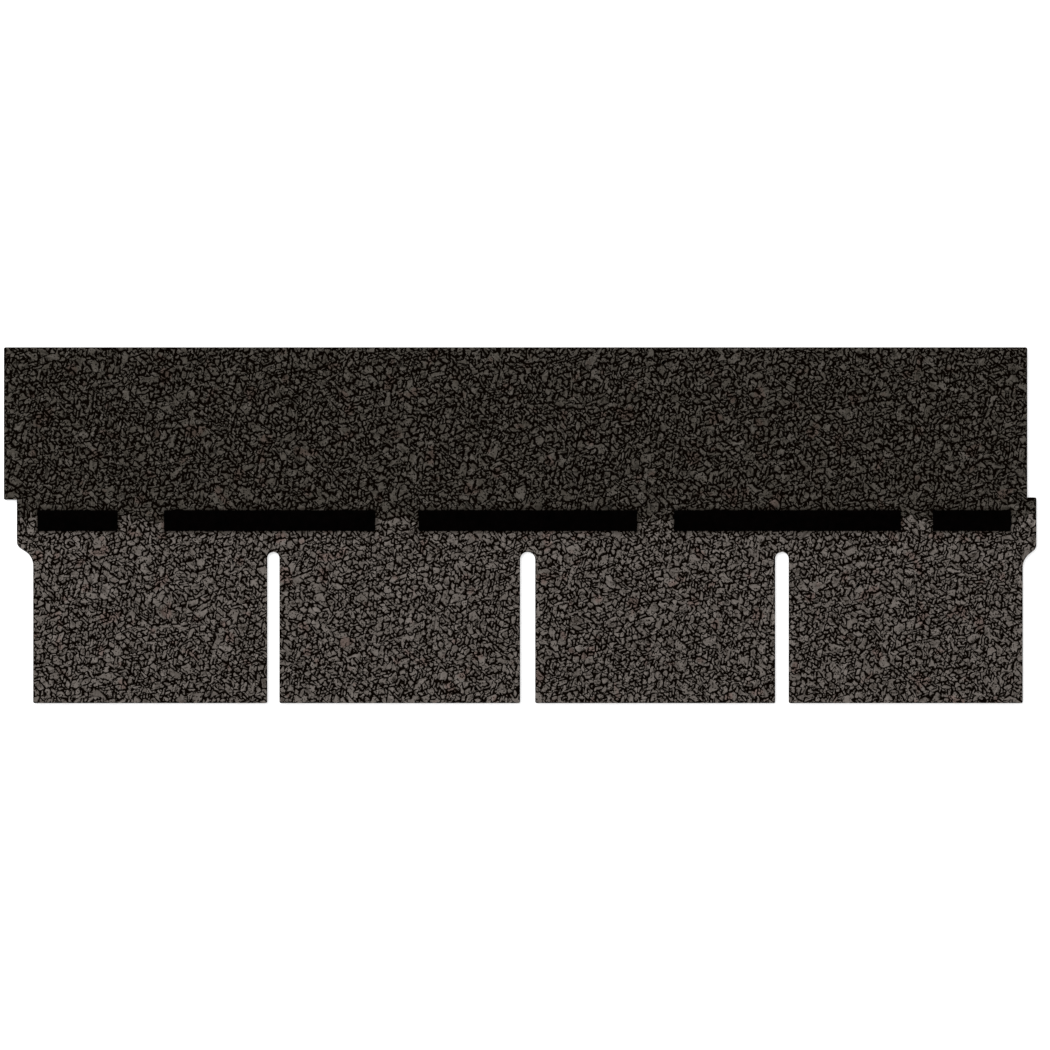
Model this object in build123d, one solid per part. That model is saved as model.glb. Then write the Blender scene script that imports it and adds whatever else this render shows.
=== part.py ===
"""Four-tab asphalt strip shingle, lying flat with its granule face up.

One die-cut sheet of bitumen-coated mat carries five beads of self-sealing bitumen. The sheet has a plain
headlap along the top, a band below it that reaches a little further right, and four tabs parted by three
round-topped cut-outs. Each end has a wider half cut-out with a sloping shoulder. The headlap is shifted
left against the band, so that strips laid end to end register with each other.

Millimetres. +X runs along the strip, +Y from the butt edge of the tabs to the top edge, +Z is up.
The origin is at the middle of the bounding box, on the underside.
"""

import os

from build123d import *

# The sheet
sheet_thickness = 3.0
strip_depth = 349.0
band_length = 1000.0
headlap_depth = 149.5
corner_radius = 1.5

# The headlap's shift: past the band's left end, and short of its right end, where the band's lug stands higher
left_lug = 12.7
right_recess = 9.0
right_lug_rise = 2.3

# Cut-outs between the tabs, each a little wider or narrower; the first is placed from the band's left end
left_slot_width = 12.1
middle_slot_width = 14.8
right_slot_width = 13.4
slot_depth = 148.3
slot_pitch = 249.5
first_slot_centre = 251.5

# Half cut-outs at the ends: how far up the shoulder starts, and how much it drops across the notch
left_notch_depth = 154.0
left_notch_width = 16.0
left_notch_drop = 9.8
right_notch_depth = 151.7
right_notch_width = 13.4
right_notch_drop = 10.4
notch_radius = 17.0
shoulder_radius = 8.0

# Beads of sealant, dashed along the band: where each starts and ends along the band's length
sealant_width = 21.0
sealant_height = 1.0
sealant_setback = 168.5
sealant_corner_radius = 1.2
sealant_edge_radius = 0.6
sealant_span_shares = (
    (0.0201, 0.0991),
    (0.1440, 0.3517),
    (0.3939, 0.6085),
    (0.6444, 0.8673),
    (0.8982, 0.9752),
)

# How far a cutting shape runs past the edge that it cuts
overrun = 5.0

# The outline is drawn from the band's left end and the butt edge, then centred on its bounding box
to_centre = Pos((left_lug - band_length) / 2, -strip_depth / 2)


def slot_cut(centre_x, width):
    """The cut-out between two tabs, open at the butt edge, with a full round top."""
    round_radius = width / 2
    round_centre_y = slot_depth - round_radius
    straight_height = round_centre_y + overrun
    straight = Pos(centre_x, round_centre_y - straight_height / 2) * Rectangle(width, straight_height)
    return straight + Pos(centre_x, round_centre_y) * Circle(round_radius)


def notch_cut(depth, width, drop):
    """The half cut-out at the left end, whose shoulder slopes down to a rounded inner corner."""
    slope = drop / width
    inner_corner = (width, depth - drop)
    outline = Polyline(
        (width, -overrun),
        inner_corner,
        (-overrun, depth + slope * overrun),
        (-overrun, -overrun),
        close=True,
    )
    notch = make_face(outline)
    return fillet(notch.vertices().sort_by_distance(inner_corner)[0], notch_radius)


def strip_outline():
    """The die-cut outline of the whole sheet."""
    step_y = strip_depth - headlap_depth
    headlap_length = left_lug + band_length - right_recess
    headlap = Pos(-left_lug, step_y) * Rectangle(headlap_length, headlap_depth, align=Align.MIN)
    lug_top_y = step_y + right_lug_rise
    lower = Rectangle(band_length, lug_top_y, align=Align.MIN)
    outline = headlap + lower

    for number, width in enumerate((left_slot_width, middle_slot_width, right_slot_width)):
        outline -= slot_cut(first_slot_centre + number * slot_pitch, width)
    outline -= notch_cut(left_notch_depth, left_notch_width, left_notch_drop)
    right_notch = notch_cut(right_notch_depth, right_notch_width, right_notch_drop)
    outline -= Pos(band_length, 0) * mirror(right_notch, about=Plane.YZ)

    corners = outline.vertices()
    rounded = corners.group_by(Axis.Y)[0] + corners.group_by(Axis.Y)[-1]
    for lug_tip in ((-left_lug, step_y), (band_length, lug_top_y)):
        rounded.append(corners.sort_by_distance(lug_tip)[0])
    outline = fillet(rounded, corner_radius)
    for shoulder in ((0, left_notch_depth), (band_length, right_notch_depth)):
        outline = fillet(outline.vertices().sort_by_distance(shoulder)[0], shoulder_radius)
    return outline


def shingle_sheet():
    """The coated mat with its granules, as one flat sheet."""
    return extrude(to_centre * strip_outline(), sheet_thickness)


def sealant_strip(start_share, end_share):
    """One bead of sealant on the band, flat on top, with rounded ends and edges."""
    length = band_length * (end_share - start_share)
    middle_x = band_length * (start_share + end_share) / 2
    middle_y = sealant_setback + sealant_width / 2
    footprint = Pos(middle_x, middle_y) * RectangleRounded(length, sealant_width, sealant_corner_radius)
    bead = extrude(Pos(0, 0, sheet_thickness) * to_centre * footprint, sealant_height)
    return fillet(bead.faces().sort_by(Axis.Z)[-1].edges(), sealant_edge_radius)


def write_parts():
    """Writes each piece as its own STEP file."""
    os.makedirs("parts", exist_ok=True)
    export_step(shingle_sheet(), "parts/shingle_sheet.step")
    for number, (start_share, end_share) in enumerate(sealant_span_shares, 1):
        export_step(sealant_strip(start_share, end_share), f"parts/sealant_strip_{number}.step")


write_parts()
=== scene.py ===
"""Looks of the asphalt strip shingle: embedded granules, poured sealant, bitumen, cut edges and sanded back.

Everything is in metres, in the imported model's frame: +X along the strip, +Y up to the top edge, +Z out of
the granule face. The granules are closed stones that stand out of the sheet's top face, most of them with a
crown in the middle. They come from a bent honeycomb, turned so that its rows don't show along the strip. Its
cells are grouped at random, and each group's outline is shrunk to leave dark channels of uneven width.
"""

import collections
import math

import bpy
import numpy as np
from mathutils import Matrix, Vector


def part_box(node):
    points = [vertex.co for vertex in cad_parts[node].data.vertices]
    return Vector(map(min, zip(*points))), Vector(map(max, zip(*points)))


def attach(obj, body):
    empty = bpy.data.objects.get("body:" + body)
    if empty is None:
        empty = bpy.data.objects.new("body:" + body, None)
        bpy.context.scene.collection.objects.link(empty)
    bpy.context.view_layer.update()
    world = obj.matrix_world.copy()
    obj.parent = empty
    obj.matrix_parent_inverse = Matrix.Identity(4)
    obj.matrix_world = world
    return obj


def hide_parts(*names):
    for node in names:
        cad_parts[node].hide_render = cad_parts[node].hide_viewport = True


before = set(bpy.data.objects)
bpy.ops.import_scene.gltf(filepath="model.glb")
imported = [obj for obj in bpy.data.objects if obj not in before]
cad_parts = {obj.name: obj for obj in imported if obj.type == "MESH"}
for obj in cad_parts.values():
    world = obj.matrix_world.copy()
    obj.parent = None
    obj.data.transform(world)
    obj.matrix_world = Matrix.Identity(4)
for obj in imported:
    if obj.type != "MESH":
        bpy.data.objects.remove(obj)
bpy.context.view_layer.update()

MM = 0.001
random_seed = 20
rng = np.random.default_rng(random_seed)

sheet_low, sheet_high = (np.array(corner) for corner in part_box("shingle_sheet"))
sheet_top = sheet_high[2]
bead_names = sorted(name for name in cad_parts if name.startswith("sealant_strip"))
bead_boxes = {name: [np.array(corner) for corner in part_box(name)] for name in bead_names}

# The honeycomb that the granules are cut from, its turn, and how its corners and its edges' middles stray
cell_pitch = 3.23 * MM
cell_sides = 6
margin_cells = 4
widest_cell = 3 * cell_pitch
field_turn = math.radians(17)
corner_jitter = 0.92 * MM
edge_jitter = 0.25 * MM
bend_waves = 20
bend_lengths = (10 * MM, 60 * MM)
bend_reach_share = 0.013

# How far cells, and sides of granules, may lie past the sheet's edge, and how far granules run under a bead
edge_overlap = 0.7 * MM
stray_limit = 0.15 * MM
under_bead = 2.4 * MM

# How many cells make up a granule, and how often
granule_cells = (1, 2, 3, 4, 6, 9, 13)
granule_shares = (0.16, 0.26, 0.26, 0.16, 0.09, 0.05, 0.02)

# How a granule grows: by cells that touch it on many sides, that chance favours or that keep it to its line
raggedness = 1.5
most_slender = 1.2
most_bow = 0.3

# How many of the cells left alone try to join a granule beside them
joined_share = 0.6

# How outlines are smoothed, how near the line through its neighbours a point is dropped, and how mitres end
outline_smoothing = (0.5, 0.5, 0.4)
inset_smoothing = 0.1
thinning = 0.08 * MM
fewest_points = 6
least_spread = 0.6

# The channels between granules: narrower round slim ones, wider in the headlap, and wider here than there
channel_half = 0.40 * MM
broad_granule = 3.4 * MM
least_fullness = 0.65
headlap_channel = 1.20
gap_sway = 0.85
gap_limits = (0.08, 2.6)
sway_lengths = (4 * MM, 12 * MM)
sway_waves = 16

# A granule's section: its sloping flank, its root in the sheet, its tilted top and the crown in its middle
flank_width = 0.60 * MM
root_depth = 0.1 * MM
granule_heights = (0.46 * MM, 0.66 * MM)
most_tilt = 0.09
crown_rises = (-0.03 * MM, 0.10 * MM)
least_height = 0.40 * MM

# Outlines are shrunk in rounds, and a granule whose top comes out smaller than this is spared in the next
least_top = 0.3 * MM * MM
sparing = 0.6
shrinking_rounds = 3

# On the granules' tops: painted shade round the beads, and bitumen creeping in at some of their points
bead_shade_reach = 2.6 * MM
bead_shade_strength = 0.75
creeping_share = 0.08
creeping_strengths = (0.3, 1)

# Tones, 0 dark to 1 light: the granules' mean and spread, the spread in one, and a painted rim highlight
granule_tones = (0.54, 0.05)
facet_tone = 0.12
painted_rim_highlight = -0.36

# The map for baking: the room that it gives to each flank, and the strip for the hidden undersides
flank_room = 0.35 * MM
under_strip = 0.02
top_start = 1.5 * under_strip

# The two grades of granules meet behind the beads, and each is laid in columns
grade_line = 6.0 * MM
grade_wobble = 0.8 * MM
column_count = 4


# Outline of the sheet


def sheet_outline():
    """The sheet's top outline as segments, anticlockwise round the sheet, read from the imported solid."""
    decimals = 4
    upward = 0.9
    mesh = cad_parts["shingle_sheet"].data
    places = [tuple(round(value / MM, decimals) for value in vertex.co) for vertex in mesh.vertices]
    edges = set()
    for face in mesh.polygons:
        if face.normal.z > upward:
            ring = [places[index][:2] for index in face.vertices]
            edges.update(zip(ring, ring[1:] + ring[:1]))
    rim = [edge for edge in edges if edge[::-1] not in edges]
    return np.array(sorted(rim)) * MM


def inside(points, segments):
    """Whether each point lies inside the outline, by counting the segments to its right."""
    (x1, y1), (x2, y2) = segments[:, 0].T, segments[:, 1].T
    x, y = points[:, :1], points[:, 1:]
    spans = (y1 > y) != (y2 > y)
    rise = np.where(y2 == y1, 1.0, y2 - y1)
    crosses = spans & (x < x1 + (y - y1) * (x2 - x1) / rise)
    return crosses.sum(axis=1) % 2 == 1


def nearest_on(points, segments):
    """The nearest place on the outline to each point."""
    start, along = segments[:, 0], segments[:, 1] - segments[:, 0]
    share = ((points[:, None] - start) * along).sum(-1) / (along**2).sum(-1)
    places = start + share.clip(0, 1)[..., None] * along
    best = np.linalg.norm(places - points[:, None], axis=-1).argmin(axis=1)
    return places[np.arange(len(points)), best]


def held_inside(points, segments):
    """The points, with those outside the outline moved onto it."""
    held = points.copy()
    outside = np.flatnonzero(~inside(points, segments))
    held[outside] = nearest_on(points[outside], segments)
    return held


# The honeycomb


def honeycomb(low, high):
    """A field of hexagons over this box: corner places, each cell's corners and its neighbours.

    Corners and neighbours run anticlockwise. Neighbour k lies across the edge from corner k to corner k + 1.
    """
    row_step = cell_pitch * math.sqrt(3) / 2
    rows = int((high[1] - low[1]) / row_step) + 2 * margin_cells
    columns = int((high[0] - low[0]) / cell_pitch) + 2 * margin_cells
    row, column = (grid.ravel() for grid in np.mgrid[:rows, :columns])
    odd = row % 2
    x = low[0] + (column - margin_cells + odd / 2) * cell_pitch
    y = low[1] + (row - margin_cells) * row_step
    centres = np.stack([x, y], axis=1)

    def cell(up, right):
        return (row + up) % rows * columns + (column + right) % columns

    east, west = cell(0, 1), cell(0, -1)
    north_east, north_west = cell(1, odd), cell(1, odd - 1)
    south_east, south_west = cell(-1, odd), cell(-1, odd - 1)
    neighbours = np.stack([north_east, north_west, west, south_west, south_east, east], axis=1)

    # Each cell owns its north corner, numbered as the cell, and its south corner, numbered after all those
    own, count = cell(0, 0), rows * columns
    cell_corners = np.stack(
        [north_east + count, own, north_west + count, south_west, own + count, south_east], axis=1
    )
    to_corner = np.array([0, cell_pitch / math.sqrt(3)])
    corners = np.concatenate([centres + to_corner, centres - to_corner])
    return corners, cell_corners, neighbours


def turned_honeycomb():
    """A honeycomb over the whole sheet, turned, with each corner moved a little and the whole field bent."""
    along = (math.cos(field_turn), math.sin(field_turn))
    across = (-math.sin(field_turn), math.cos(field_turn))
    turn = np.array([along, across])
    reach = np.abs(turn) @ (sheet_high - sheet_low)[:2] / 2
    corners, cell_corners, neighbours = honeycomb(-reach, reach)
    corners = bent(jittered(corners @ turn + (sheet_low + sheet_high)[:2] / 2))
    return corners, cell_corners, neighbours


def jittered(places):
    """Each place moved a little by itself."""
    heading = rng.uniform(0, 2 * math.pi, len(places))
    reach = corner_jitter * np.sqrt(rng.uniform(0, 1, len(places)))
    return places + reach[:, None] * np.stack([np.cos(heading), np.sin(heading)], axis=1)


def bent(places):
    """The places moved along with a smooth random field, so that no rows of the honeycomb show."""
    moved = places.copy()
    for _ in range(bend_waves):
        heading, push, phase = rng.uniform(0, 2 * math.pi, 3)
        length = rng.uniform(*bend_lengths)
        turns = places @ (math.cos(heading), math.sin(heading)) / length
        reach = bend_reach_share * length * np.sin(2 * math.pi * turns + phase)
        moved += reach[:, None] * (math.cos(push), math.sin(push))
    return moved


def waves(x, y, lengths, count):
    """A smooth random field of about unit height."""
    total = np.zeros_like(x)
    for _ in range(count):
        heading, phase = rng.uniform(0, 2 * math.pi, 2)
        number = 2 * math.pi / rng.uniform(*lengths)
        total += np.sin(number * (x * math.cos(heading) + y * math.sin(heading)) + phase)
    return total / math.sqrt(count)


# Granule outlines


def usable(cells, outline):
    """Whether each cell, given as its corners, lies on the sheet or just past it, and no bead hides it."""
    places = cells.mean(axis=1)
    free = inside(places, outline)
    out = np.flatnonzero(~free)
    near = np.linalg.norm(nearest_on(places[out], outline) - places[out], axis=1) < edge_overlap
    free[out[near]] = True
    for low, high in bead_boxes.values():
        hidden = (places > low[:2] + under_bead) & (places < high[:2] - under_bead)
        free &= ~hidden.all(axis=1)

    # The field's first and last rows and columns are joined across it, and those cells are no use
    return free & (np.ptp(cells, axis=1).max(axis=1) < widest_cell)


def grouped(free, places, neighbours):
    """Groups the free cells into granules: each cell's granule number, or -1 where there is none.

    Most granules are longer than they are wide, and follow a line that is a little bowed. Cells left alone
    mostly join a granule beside them.
    """
    count = len(free)
    wanted = rng.choice(granule_cells, size=count, p=granule_shares).tolist()
    liking = rng.uniform(0, raggedness, count).tolist()
    heading = rng.uniform(0, 2 * math.pi, count).tolist()
    slender = rng.uniform(0, most_slender, count).tolist()
    bow = rng.uniform(-most_bow, most_bow, count).tolist()
    granule_of = [-1] * count
    free = free.tolist()
    around = neighbours.tolist()
    steps = (places / cell_pitch).tolist()

    def off_line(seed, cell):
        x, y = steps[cell][0] - steps[seed][0], steps[cell][1] - steps[seed][1]
        along = x * math.cos(heading[seed]) + y * math.sin(heading[seed])
        across = y * math.cos(heading[seed]) - x * math.sin(heading[seed])
        return abs(across - bow[seed] * along**2)

    number = 0
    for seed in rng.permutation(count).tolist():
        if not free[seed]:
            continue
        rim = {seed: 0.0}
        for _ in range(wanted[seed]):
            if not rim:
                break
            cell = max(rim, key=rim.get)
            del rim[cell]
            free[cell] = False
            granule_of[cell] = number
            for other in around[cell]:
                if other in rim:
                    rim[other] += 1
                elif free[other]:
                    rim[other] = liking[other] - slender[seed] * off_line(seed, other)
        number += 1

    sizes = np.bincount([granule for granule in granule_of if granule >= 0]).tolist()
    for cell in rng.permutation(count).tolist():
        if granule_of[cell] >= 0 and sizes[granule_of[cell]] == 1 and rng.uniform() < joined_share:
            other = granule_of[around[cell][rng.integers(cell_sides)]]
            if other >= 0:
                sizes[granule_of[cell]] = 0
                granule_of[cell] = other
                sizes[other] += 1
    return np.array(granule_of)


def traced(granule_of, cell_corners, neighbours):
    """The corners round each granule, anticlockwise, with those of each granule in one list."""
    rims = collections.defaultdict(dict)
    for side in range(cell_sides):
        shown = (granule_of >= 0) & (granule_of[neighbours[:, side]] != granule_of)
        start = cell_corners[shown, side].tolist()
        end = cell_corners[shown, (side + 1) % cell_sides].tolist()
        for owner, first, last in zip(granule_of[shown].tolist(), start, end):
            rims[owner][first] = last
    loops = []
    for rim in rims.values():
        found = []
        while rim:
            loop = [next(iter(rim))]
            while loop[-1] in rim:
                loop.append(rim.pop(loop[-1]))
            found.append(loop[:-1])
        loops.append(max(found, key=len))
    return loops


def with_middles(loops, corners):
    """The loops' corners with a point between each two that lies a little off the middle, as rings.

    Granules on both sides of an edge share its point, so they keep an even channel between them.
    """
    ends = np.array([pair for loop in loops for pair in zip(loop, loop[1:] + loop[:1])])
    edges, which = np.unique(np.sort(ends, axis=1), axis=0, return_inverse=True)
    middles = corners[edges].mean(axis=1) + rng.normal(0, edge_jitter, (len(edges), 2))
    points = np.stack([corners[ends[:, 0]], middles[which.ravel()]], axis=1)
    return Rings(points.reshape(-1, 2), [2 * len(loop) for loop in loops])


class Rings:
    """Closed outlines laid end to end in one array of points."""

    def __init__(self, points, counts):
        self.points = points
        self.counts = np.array(counts)
        self.first = np.cumsum(self.counts) - self.counts
        self.owner = np.repeat(np.arange(len(self.counts)), self.counts)
        place = np.arange(len(points)) - self.first[self.owner]
        size = self.counts[self.owner]
        self.before = self.first[self.owner] + (place - 1) % size
        self.after = self.first[self.owner] + (place + 1) % size

    def areas(self):
        """Each outline's area, positive where it runs anticlockwise."""
        x, y = self.points.T
        turns = x * y[self.after] - x[self.after] * y
        return np.bincount(self.owner, turns, len(self.counts)) / 2

    def widths(self):
        """Each outline's width, as that of the rectangle with the same area and girth."""
        sides = np.linalg.norm(self.points[self.after] - self.points, axis=1)
        quarter = np.bincount(self.owner, sides, len(self.counts)) / 4
        return quarter - np.sqrt((quarter**2 - self.areas()).clip(0, None))

    def centres(self):
        """The mean of each outline's points."""
        sums = [np.bincount(self.owner, axis, len(self.counts)) for axis in self.points.T]
        return np.stack(sums, axis=1) / self.counts[:, None]

    def smoothed(self, strength):
        """The outlines with each point drawn towards the middle of its neighbours."""
        middle = (self.points[self.before] + self.points[self.after]) / 2
        return Rings(self.points + strength * (middle - self.points), self.counts)

    def thinned(self, tolerance):
        """The outlines without the points that lie this near the line through their neighbours."""
        start, end = self.points[self.before], self.points[self.after]
        across = (inward(start, end) * (self.points - start)).sum(axis=1)
        flat = (np.abs(across) < tolerance) & (self.counts[self.owner] > fewest_points)
        spare = np.zeros(len(flat), bool)
        for index in np.flatnonzero(flat):
            spare[index] = not (spare[self.before[index]] or spare[self.after[index]])
        return Rings(self.points[~spare], np.bincount(self.owner[~spare], minlength=len(self.counts)))

    def inset(self, distance):
        """The outlines moved inwards by one distance, or by one for each point, with mitred corners."""
        one = inward(self.points[self.before], self.points)
        two = inward(self.points, self.points[self.after])
        spread = 1 + (one * two).sum(axis=1, keepdims=True)
        reach = np.broadcast_to(distance, len(self.points))[:, None]
        return Rings(self.points + reach * (one + two) / spread.clip(least_spread, None), self.counts)

    def kept(self, wanted):
        """Only the outlines that are wanted."""
        return Rings(self.points[wanted[self.owner]], self.counts[wanted])


def inward(start, end):
    """The unit normal on the left of the way from start to end."""
    shortest = 1e-9
    along = end - start
    length = np.linalg.norm(along, axis=1, keepdims=True).clip(shortest, None)
    return np.stack([-along[:, 1], along[:, 0]], axis=1) / length


def gap_widths(points):
    """How wide the gap between granules is at each point, against the usual one."""
    x, y = points.T
    grade = np.where(y > grade_line, headlap_channel, 1)
    return grade * (1 + gap_sway * waves(x, y, sway_lengths, sway_waves)).clip(*gap_limits)


def shrunk(rings):
    """The outlines shrunk to leave channels between them: at the root, and at the shoulder up the flank."""
    gap = gap_widths(rings.points)
    fullness = (rings.widths() / broad_granule).clip(least_fullness, 1)
    for _ in range(shrinking_rounds):
        scale = gap * fullness[rings.owner]
        half = scale * channel_half / 2
        root = rings.inset(half).smoothed(inset_smoothing).inset(half)
        shoulder = root.smoothed(inset_smoothing).inset(scale * flank_width)
        fullness = np.where(shoulder.areas() < least_top, sparing, 1) * fullness
    return root, shoulder


def astray(rings, segments):
    """Whether each outline has a side that cuts across the sheet's edge."""
    middles = (rings.points + rings.points[rings.after]) / 2
    outside = np.flatnonzero(~inside(middles, segments))
    gaps = np.linalg.norm(nearest_on(middles[outside], segments) - middles[outside], axis=1)
    found = np.zeros(len(rings.counts), bool)
    found[rings.owner[outside[gaps > stray_limit]]] = True
    return found


def granule_rings():
    """The granules' outlines at the root and at the shoulder, in two sets that match point for point."""
    outline = sheet_outline()
    corners, cell_corners, neighbours = turned_honeycomb()
    cells = corners[cell_corners]
    granule_of = grouped(usable(cells, outline), cells.mean(axis=1), neighbours)
    rings = with_middles(traced(granule_of, cell_corners, neighbours), corners)
    for strength in outline_smoothing:
        rings = rings.smoothed(strength)
    root, shoulder = shrunk(rings.thinned(thinning))
    root = Rings(held_inside(root.points, outline), root.counts)
    shoulder = Rings(held_inside(shoulder.points, outline), shoulder.counts)
    sound = (shoulder.areas() > 0) & ~astray(root, outline) & ~astray(shoulder, outline)
    return root.kept(sound), shoulder.kept(sound)


# Granule meshes


def granule_mesh(name, root, shoulder, material):
    """One piece of closed granules, each with its height, tilt and tone, and most with a crown on top."""
    size, count, owner = len(root.points), len(root.counts), root.owner
    centres = shoulder.centres()
    height = rng.uniform(*granule_heights, count)
    tilt = rng.normal(0, most_tilt / 2, (count, 2)).clip(-most_tilt, most_tilt)
    rise = height[owner] + (tilt[owner] * (shoulder.points - centres[owner])).sum(axis=1)
    crowned = fan_fits(shoulder, centres)
    crown = 2 * size + np.cumsum(crowned) - 1
    rise = np.concatenate([rise, (height + rng.uniform(*crown_rises, count))[crowned]])
    rise = rise.clip(least_height, granule_heights[1])

    places = np.vstack([root.points, shoulder.points, centres[crowned]])
    heights = np.concatenate([np.full(size, -root_depth), rise]) + sheet_top
    here = np.arange(size)
    flanks = np.column_stack([here, root.after, root.after + size, here + size])
    fans = np.column_stack([here + size, root.after + size, crown[owner]])[crowned[owner]]
    spans = [np.arange(first, first + length) for first, length in zip(root.first, root.counts)]
    lids = [(span + size).tolist() for span, has_crown in zip(spans, crowned) if not has_crown]
    shown = flanks.tolist() + fans.tolist() + lids
    bases = [span[::-1].tolist() for span in spans]

    mesh = bpy.data.meshes.new(name)
    mesh.from_pydata(np.column_stack([places, heights]).tolist(), [], shown + bases)
    owners = np.concatenate([owner, owner, np.flatnonzero(crowned)])
    for label, values in granule_looks(owners, places, 2 * size).items():
        mesh.attributes.new(label, "FLOAT", "POINT").data.foreach_set("value", values)
    lay_out(mesh, np.vstack([shoulder.inset(-flank_room).points, places[size:]]), len(shown))
    mesh.materials.append(material)
    piece = bpy.data.objects.new(name, mesh)
    bpy.context.scene.collection.objects.link(piece)
    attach(piece, "root")
    return piece


def fan_fits(rings, centres):
    """Whether a fan of triangles from its centre fills each outline."""
    one = rings.points - centres[rings.owner]
    two = rings.points[rings.after] - centres[rings.owner]
    turns = one[:, 0] * two[:, 1] - one[:, 1] * two[:, 0]
    return np.minimum.reduceat(turns, rings.first) > 0


def granule_looks(owners, places, first_crown):
    """Each point's tone, dark to light, round its granule's own, and the painted shade and bitumen on it."""
    count = len(owners)
    tone = rng.normal(*granule_tones, owners.max() + 1)[owners] + rng.normal(0, facet_tone, count)
    # The crowns are painted darker, which leaves a painted highlight round each granule's rim
    tone[first_crown:] += painted_rim_highlight
    # Painted shade on the granules near each bead, darkest at the bead's footprint
    near = 1 - bead_gaps(places) / bead_shade_reach
    chance = rng.uniform(0, 1, count)
    creeping = np.where(chance < creeping_share, rng.uniform(*creeping_strengths, count), 0)
    return {"tone": tone.clip(0, 1), "bead_shade_and_creep": np.maximum(creeping, bead_shade_strength * near.clip(0, 1))}


def bead_gaps(points):
    """How far each point lies from the nearest bead's footprint."""
    gaps = []
    for low, high in bead_boxes.values():
        past = np.maximum(low[:2] - points, points - high[:2]).clip(0, None)
        gaps.append(np.linalg.norm(past, axis=1))
    return np.min(gaps, axis=0)


def lay_out(mesh, places, shown_faces):
    """A map for baking: the face seen from above, with the hidden undersides in a narrow strip below it."""
    low, high = places.min(axis=0), places.max(axis=0)
    corner = np.empty(len(mesh.loops), np.int32)
    mesh.loops.foreach_get("vertex_index", corner)
    uv = (places[corner] - low) / (high - low)
    hidden = np.arange(len(corner)) >= mesh.polygons[shown_faces].loop_start
    uv[:, 1] = np.where(hidden, under_strip * uv[:, 1], top_start + (1 - top_start) * uv[:, 1])
    layer = mesh.uv_layers.new(name="OFBake", do_init=False)
    layer.uv.foreach_set("vector", uv.astype(np.float32).ravel())


# Sealant


# A bead's grid, its root in the sheet, its rounded edge and its corners in plan
bead_step = 1.5 * MM
bead_root = 0.15 * MM
bead_shoulder = 0.9 * MM
shoulder_steps = (0.0, 0.08, 0.2, 0.4, 0.65, 1.0)
bead_corner = 1.2 * MM

# How deep a bead's top dips and how far its edge draws back, over waves of these lengths
bead_waves = 8
bead_dip = 0.16 * MM
dip_lengths = (14 * MM, 40 * MM)
deepest_wave = 1.2
bead_wobble = 0.22 * MM
wobble_lengths = (5 * MM, 20 * MM)


def spaced(low, high):
    """Even steps from low to high, with closer ones near both ends for the rounded edges."""
    ends = np.array(shoulder_steps) * bead_shoulder
    middle = np.linspace(low + bead_shoulder, high - bead_shoulder, int((high - low) / bead_step))
    return np.concatenate([low + ends[:-1], middle, high - ends[-2::-1]])


def bead_surface(low, high):
    """The grid over a bead: rounded edges that wander a little, and a top that dips here and there."""
    x, y = np.meshgrid(spaced(low[0], high[0]), spaced(low[1], high[1]), indexing="ij")
    across = np.minimum(x - low[0], high[0] - x), np.minimum(y - low[1], high[1] - y)
    corner = np.stack([(bead_corner - gap).clip(0, None) for gap in across])
    depth = np.where(corner.all(axis=0), bead_corner - np.linalg.norm(corner, axis=0), np.minimum(*across))
    depth = depth.clip(0, bead_shoulder)
    shape = np.sqrt(1 - (1 - depth / bead_shoulder) ** 2)
    dip = bead_dip * waves(x, y, dip_lengths, bead_waves).clip(0, deepest_wave) / deepest_wave
    full = high[2] - sheet_top
    z = sheet_top - bead_root + (full + bead_root - dip) * shape
    wobble = 0.5 + 0.5 * waves(x, y, wobble_lengths, bead_waves).clip(-1, 1)
    drift = bead_wobble * (1 - depth / bead_shoulder) * wobble
    y = y + drift * np.sign((low[1] + high[1]) / 2 - y)
    return np.stack([x, y, z], axis=-1)


def bead(name, material):
    """A poured bead of sealant in place of the plain one of this name."""
    surface = bead_surface(*bead_boxes[name])
    rows, columns = surface.shape[:2]
    number = np.arange(rows * columns).reshape(rows, columns)
    quads = np.stack([number[:-1, :-1], number[1:, :-1], number[1:, 1:], number[:-1, 1:]], axis=-1)
    rim = np.concatenate([number[:-1, 0], number[-1, :-1], number[:0:-1, -1], number[0, :0:-1]])
    faces = quads.reshape(-1, 4).tolist() + [rim[::-1].tolist()]
    mesh = bpy.data.meshes.new(name + "_poured")
    mesh.from_pydata(surface.reshape(-1, 3).tolist(), [], faces)
    for face in mesh.polygons:
        face.use_smooth = len(face.vertices) == 4
    mesh.materials.append(material)
    piece = bpy.data.objects.new(mesh.name, mesh)
    bpy.context.scene.collection.objects.link(piece)
    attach(piece, "root")
    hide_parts(name)


# Materials


# Kinds of noise: waves a metre, how many finer layers they have, and how strong those are
mottle_noise = (620, 3, 0.6)
grit_noise = (2600, 2, 0.7)
patch_noise = (50, 1, 0.5)
crack_noise = (260, 1, 0.5)
fines_noise = (1500, 2, 0.6)
layer_noise = (420, 4, 0.65)
fibre_noise = (1900, 2, 0.7)
sand_noise = (1700, 3, 0.7)
dust_noise = (45, 5, 0.65)
ripple_noise = (160, 3, 0.5)
sheen_noise = (90, 2, 0.5)

# The span that most of a noise's values lie in
noise_span = (0.3, 0.7)

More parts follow.
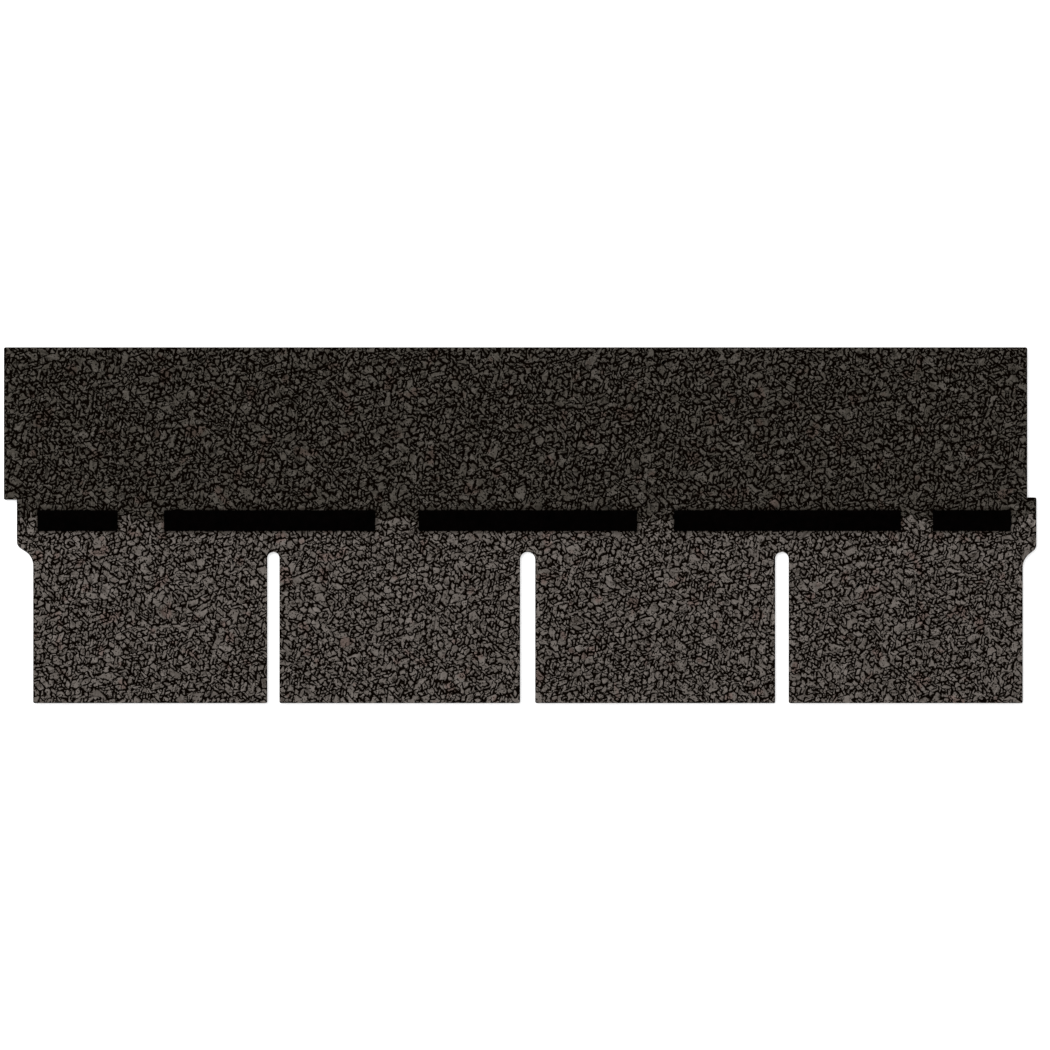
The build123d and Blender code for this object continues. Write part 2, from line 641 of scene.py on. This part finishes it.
# Colours over tone or noise, in the eight-bit numbers of a picture
headlap_colours = ((0.0, (34, 29, 24)), (0.5, (69, 65, 59)), (1.0, (97, 92, 87)))
tab_colours = ((0.0, (46, 40, 35)), (0.5, (98, 92, 87)), (1.0, (128, 121, 116)))
fines_colours = ((0.45, (4, 1, 0)), (0.62, (8, 4, 1)), (0.75, (30, 25, 20)))
edge_colours = ((0.3, (14, 12, 10)), (0.6, (34, 31, 28)), (0.8, (62, 58, 53)))
back_colours = ((0.3, (30, 28, 26)), (0.5, (64, 61, 57)), (0.72, (112, 107, 99)))
sealant_colours = ((0.3, (0, 0, 0)), (0.7, (2, 1, 1)))

# Single colours: the bitumen on each grade, what the warm patches are multiplied by, the mat and the dust
headlap_bitumen = (4, 2, 0)
tab_bitumen = (14, 9, 3)
patch_tint = (255, 239, 237)
mat_colour = (112, 106, 96)
dust_colour = (106, 101, 94)

# The stones: mottling of the tone, where patches set in, bitumen up the foot, relief, roughness and gloss
mottle_tone = 0.16
patch_span = (0.64, 0.69)
foot_height = 0.40 * MM
mottle_share = 0.7
stone_relief = 0.12 * MM
stone_roughness = (0.72, 0.95)
stone_gloss = 0.01

# Pits and cracks: the warp of their cells, cells to a metre, which cells have one, and sizes in cells
warp_scale = 500
warp_reach = 1.6 * MM
pit_cells = 400
pitted_span = (0.5, 1.0)
pit_radii = (0.0, 0.34)
pit_rim = (-0.04, 0.02)
crack_cells = 300
crack_rim = (0.09, 0.17)
cracked_span = (0.52, 0.57)

# The sheet: which way its faces look, the mat in the cut edge, dust on the back, relief, roughness and gloss
top_span = (0.5, 0.6)
back_span = (-0.6, -0.5)
layer_squash = 4
mat_half = 0.25 * MM
fibre_span = (0.5, 0.62)
fibre_cover = 0.7
dust_span = (0.42, 0.68)
dust_cover = 0.5
sand_share = 0.5
sheet_relief = 0.25 * MM
sheet_roughness = (0.65, 0.9)
sheet_gloss = 0.005

# The sealant's relief, roughness and gloss
sealant_relief = 0.15 * MM
sealant_roughness = (0.34, 0.55)
sealant_gloss = 0.005


def linear(srgb):
    """A colour given in the eight-bit numbers of a picture, as Blender's linear numbers."""
    shares = [value / 255 for value in srgb]
    curve = [share / 12.92 if share <= 0.04045 else ((share + 0.055) / 1.055) ** 2.4 for share in shares]
    return curve + [1]


class Nodes:
    """Short ways to build a material's node tree."""

    def __init__(self, name):
        self.material = bpy.data.materials.new(name)
        self.material.use_nodes = True
        self.tree = self.material.node_tree
        self.shader = self.tree.nodes["Principled BSDF"]

    def add(self, kind, **values):
        """A node, with its properties and then its named inputs set or linked."""
        node = self.tree.nodes.new(kind)
        for label in [label for label in values if hasattr(node, label)]:
            setattr(node, label, values.pop(label))
        for label, value in values.items():
            self.feed(node.inputs[label.replace("_", " ")], value)
        return node

    def feed(self, socket, value):
        """Links an output to this input, or sets its number or colour."""
        if isinstance(value, bpy.types.NodeSocket):
            self.tree.links.new(value, socket)
        else:
            socket.default_value = value

    def places(self):
        """Places on the object, in metres."""
        return self.add("ShaderNodeTexCoord").outputs["Object"]

    def height(self):
        """The surface's height over the sheet's underside, in metres."""
        return self.add("ShaderNodeSeparateXYZ", Vector=self.places()).outputs["Z"]

    def noise(self, kind, vector=None):
        """Noise from 0 to 1 of this kind."""
        node = self.add("ShaderNodeTexNoise", Vector=vector or self.places())
        for label, value in zip(("Scale", "Detail", "Roughness"), kind):
            node.inputs[label].default_value = value
        return node.outputs["Fac"]

    def cells(self, feature, scale):
        """The distance to a cell's point or edge, in cells, for this many cells a metre."""
        warp = self.add("ShaderNodeTexNoise", Vector=self.places())
        warp.inputs["Scale"].default_value = warp_scale
        moved = self.add("ShaderNodeVectorMath", operation="MULTIPLY_ADD")
        self.feed(moved.inputs[0], warp.outputs["Color"])
        moved.inputs[1].default_value = (warp_reach, warp_reach, 0)
        self.feed(moved.inputs[2], self.places())
        node = self.add("ShaderNodeTexVoronoi", feature=feature, voronoi_dimensions="2D")
        self.feed(node.inputs["Vector"], moved.outputs["Vector"])
        node.inputs["Scale"].default_value = scale
        return node

    def pits(self):
        """1 in the dark pits of the stones, which only some of the cells have."""
        node = self.cells("F1", pit_cells)
        chosen = self.add("ShaderNodeSeparateColor", Color=node.outputs["Color"]).outputs["Red"]
        reach = self.scaled(chosen, pitted_span, pit_radii)
        gap = self.math("SUBTRACT", node.outputs["Distance"], reach)
        return self.scaled(gap, pit_rim, (1, 0))

    def cracks(self):
        """1 in the dark cracks that run into some of the stones."""
        node = self.cells("DISTANCE_TO_EDGE", crack_cells)
        line = self.scaled(node.outputs["Distance"], crack_rim, (1, 0))
        where = self.scaled(self.noise(crack_noise), cracked_span, (0, 1))
        return self.math("MULTIPLY", line, where)

    def attribute(self, name):
        """A number that each granule's points carry."""
        return self.add("ShaderNodeAttribute", attribute_name=name).outputs["Fac"]

    def ramp(self, value, stops):
        """A colour ramp over (position, colour) stops."""
        node = self.add("ShaderNodeValToRGB", Fac=value)
        ramp = node.color_ramp
        while len(ramp.elements) < len(stops):
            ramp.elements.new(0.5)
        for element, (position, colour) in zip(ramp.elements, stops):
            element.position = position
            element.color = linear(colour)
        return node.outputs["Color"]

    def scaled(self, value, source, target):
        """A number carried from one range to another, and held there."""
        node = self.add("ShaderNodeMapRange", Value=value)
        for label, number in zip(("From Min", "From Max", "To Min", "To Max"), (*source, *target)):
            node.inputs[label].default_value = number
        return node.outputs["Result"]

    def math(self, operation, one, two):
        """The result of a sum on two numbers."""
        node = self.add("ShaderNodeMath", operation=operation)
        self.feed(node.inputs[0], one)
        self.feed(node.inputs[1], two)
        return node.outputs["Value"]

    def blend(self, share, one, two):
        """This share of one number and the rest of the other."""
        return self.math("ADD", self.math("MULTIPLY", one, share), self.math("MULTIPLY", two, 1 - share))

    def mix(self, share, one, two, blend="MIX"):
        """Two colours mixed."""
        node = self.add("ShaderNodeMix", data_type="RGBA", blend_type=blend)

        # The node has its inputs for numbers and vectors before those for colours
        self.feed(node.inputs[0], share)
        self.feed(node.inputs[6], one)
        self.feed(node.inputs[7], two)
        return node.outputs[2]

    def finish(self, colour, roughness, gloss, bump, depth):
        """Sets the shader's colour, roughness and gloss, and a bump of this depth in metres."""
        self.feed(self.shader.inputs["Base Color"], colour)
        self.feed(self.shader.inputs["Roughness"], roughness)
        self.shader.inputs["Specular IOR Level"].default_value = gloss
        node = self.add("ShaderNodeBump", Height=bump, Distance=depth)
        node.inputs["Strength"].default_value = 1.0
        self.feed(self.shader.inputs["Normal"], node.outputs["Normal"])
        return self.material


def granule_material(name, colours, bitumen):
    """Crushed, coated stone: a tone of its own, mottling, warm patches, pits, and bitumen up its foot."""
    nodes = Nodes(name)
    mottle = nodes.noise(mottle_noise)
    mottling = nodes.scaled(mottle, noise_span, (-mottle_tone, mottle_tone))
    # The tone carries a painted rim highlight: each crown is painted darker than its rim
    colour = nodes.ramp(nodes.math("ADD", nodes.attribute("tone"), mottling), colours)
    patch = nodes.scaled(nodes.noise(patch_noise), patch_span, (0, 1))
    colour = nodes.mix(patch, colour, linear(patch_tint), "MULTIPLY")
    pits = nodes.math("MAXIMUM", nodes.pits(), nodes.cracks())
    foot = nodes.scaled(nodes.height(), (sheet_top, sheet_top + foot_height), (1, 0))
    # Pits, bitumen on the foot, creeping bitumen and the painted shade round the beads
    bitumen_and_shade = nodes.math("MAXIMUM", nodes.math("MAXIMUM", pits, foot), nodes.attribute("bead_shade_and_creep"))
    colour = nodes.mix(bitumen_and_shade, colour, linear(bitumen))
    grit = nodes.noise(grit_noise)
    roughness = nodes.scaled(grit, noise_span, stone_roughness)
    relief = nodes.blend(mottle_share, mottle, grit)
    return nodes.finish(colour, roughness, stone_gloss, relief, stone_relief)


def bitumen_sheet():
    """Bitumen on top between the granules, a cut edge with its mat, and fine sand on the back."""
    nodes = Nodes("bitumen_sheet")
    top = nodes.ramp(nodes.noise(fines_noise), fines_colours)

    stretched = nodes.add("ShaderNodeMapping", Vector=nodes.places())
    stretched.inputs["Scale"].default_value = (1, 1, layer_squash)
    layers = nodes.noise(layer_noise, stretched.outputs["Vector"])
    edge = nodes.ramp(layers, edge_colours)
    off_mat = nodes.math("ABSOLUTE", nodes.math("SUBTRACT", nodes.height(), sheet_top / 2), 0)
    near_mat = nodes.scaled(off_mat, (mat_half / 2, mat_half), (1, 0))
    fibres = nodes.scaled(nodes.noise(fibre_noise), fibre_span, (0, fibre_cover))
    edge = nodes.mix(nodes.math("MULTIPLY", near_mat, fibres), edge, linear(mat_colour))

    sand = nodes.noise(sand_noise)
    back = nodes.ramp(sand, back_colours)
    dusting = nodes.scaled(nodes.noise(dust_noise), dust_span, (0, dust_cover))
    back = nodes.mix(dusting, back, linear(dust_colour))

    normal = nodes.add("ShaderNodeNewGeometry").outputs["True Normal"]
    up = nodes.add("ShaderNodeSeparateXYZ", Vector=normal).outputs["Z"]
    colour = nodes.mix(nodes.scaled(up, back_span, (1, 0)), edge, back)
    colour = nodes.mix(nodes.scaled(up, top_span, (0, 1)), colour, top)
    roughness = nodes.scaled(sand, noise_span, sheet_roughness)
    relief = nodes.blend(sand_share, sand, layers)
    return nodes.finish(colour, roughness, sheet_gloss, relief, sheet_relief)


def sealant_material():
    """Soft black bitumen with a low sheen and fine ripples."""
    nodes = Nodes("sealant")
    ripple = nodes.noise(ripple_noise)
    colour = nodes.ramp(ripple, sealant_colours)
    roughness = nodes.scaled(nodes.noise(sheen_noise), noise_span, sealant_roughness)
    return nodes.finish(colour, roughness, sealant_gloss, ripple, sealant_relief)


# The object


def dress_sheet():
    """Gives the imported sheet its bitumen."""
    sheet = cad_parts["shingle_sheet"]
    material = bitumen_sheet()
    if not sheet.material_slots:
        sheet.data.materials.append(material)
    for holder in sheet.material_slots:
        holder.material = material


def lay_granules():
    """Lays the granules in pieces: four along the headlap, and one for each tab with the band above it."""
    upper = granule_material("headlap_granules", headlap_colours, headlap_bitumen)
    lower = granule_material("tab_granules", tab_colours, tab_bitumen)
    root, shoulder = granule_rings()
    x, y = shoulder.centres().T
    headlap = y > grade_line + grade_wobble * rng.uniform(-1, 1, len(y))
    column = ((x - sheet_low[0]) / (sheet_high[0] - sheet_low[0]) * column_count).astype(int)
    for number in range(column_count):
        for label, grade, material in (("headlap", headlap, upper), ("tab", ~headlap, lower)):
            chosen = grade & (column == number)
            name = f"{label}_granules_{number + 1}"
            granule_mesh(name, root.kept(chosen), shoulder.kept(chosen), material)


def pour_sealant():
    """Lays every bead of sealant."""
    material = sealant_material()
    for name in bead_names:
        bead(name, material)


# The studio


# The camera: how much the picture spans at the sheet's top, the lens and sensor in millimetres, and its aim
picture_width = 1.0299
lens = 150
sensor = 36
aim = (4.75 * MM, 0.2 * MM)

# The light from all round, the key lamp and the floor
world_strength = 0.66
key_place = (-5.7, 5.1, 6.9)
key_size = 7.2
key_power = 855
floor_reach = 40
floor_grey = 0.8
floor_glow = 0.5


def set_camera():
    """A long lens that looks straight down, with the strip placed in the frame as in the photograph."""
    data = bpy.data.cameras.new("camera")
    data.lens = lens
    data.sensor_width = sensor
    camera = bpy.data.objects.new("camera", data)
    camera.location = (*aim, sheet_top + picture_width * lens / sensor)
    bpy.context.scene.collection.objects.link(camera)
    bpy.context.scene.camera = camera


def seen_directly(tree):
    """1 for rays from the camera, and for those that a mirror or glass sends on; 0 for the light's own."""
    path = tree.nodes.new("ShaderNodeLightPath")
    total = path.outputs["Is Camera Ray"]
    for label in ("Is Glossy Ray", "Is Transmission Ray"):
        node = tree.nodes.new("ShaderNodeMath")
        node.operation = "MAXIMUM"
        tree.links.new(total, node.inputs[0])
        tree.links.new(path.outputs[label], node.inputs[1])
        total = node.outputs["Value"]
    return total


def set_world(strength):
    """Even light from all round, which looks white where it is seen."""
    world = bpy.data.worlds.new("studio")
    bpy.context.scene.world = world
    world.use_nodes = True
    background = world.node_tree.nodes["Background"]
    background.inputs["Color"].default_value = (1, 1, 1, 1)

    # The mixing node has its two inputs for numbers third and fourth
    mixed = world.node_tree.nodes.new("ShaderNodeMix")
    mixed.inputs[2].default_value = strength
    mixed.inputs[3].default_value = 1.0
    world.node_tree.links.new(seen_directly(world.node_tree), mixed.inputs[0])
    world.node_tree.links.new(mixed.outputs[0], background.inputs["Strength"])


def add_lamp(name, place, size, power):
    """A square soft lamp that points at the middle of the object."""
    data = bpy.data.lights.new(name, "AREA")
    data.size = size
    data.energy = power
    lamp = bpy.data.objects.new(name, data)
    lamp.location = place
    lamp.rotation_euler = (-lamp.location).to_track_quat("-Z", "Y").to_euler()
    bpy.context.scene.collection.objects.link(lamp)


def lay_floor():
    """A pale floor that shows white and keeps the object's shadow."""
    low, high = -floor_reach, floor_reach
    mesh = bpy.data.meshes.new("floor")
    mesh.from_pydata([(low, low, 0), (high, low, 0), (high, high, 0), (low, high, 0)], [], [(0, 1, 2, 3)])
    nodes = Nodes("floor")
    nodes.shader.inputs["Base Color"].default_value = (floor_grey, floor_grey, floor_grey, 1)
    nodes.shader.inputs["Roughness"].default_value = 1.0
    nodes.shader.inputs["Specular IOR Level"].default_value = 0.0
    nodes.shader.inputs["Emission Color"].default_value = (1, 1, 1, 1)
    glow = nodes.math("MULTIPLY", seen_directly(nodes.tree), floor_glow)
    nodes.feed(nodes.shader.inputs["Emission Strength"], glow)
    mesh.materials.append(nodes.material)
    floor = bpy.data.objects.new("floor", mesh)
    bpy.context.scene.collection.objects.link(floor)


dress_sheet()
lay_granules()
pour_sealant()
set_camera()
set_world(world_strength)
add_lamp("key", key_place, key_size, key_power)
lay_floor()
bpy.context.scene.view_settings.view_transform = "Standard"
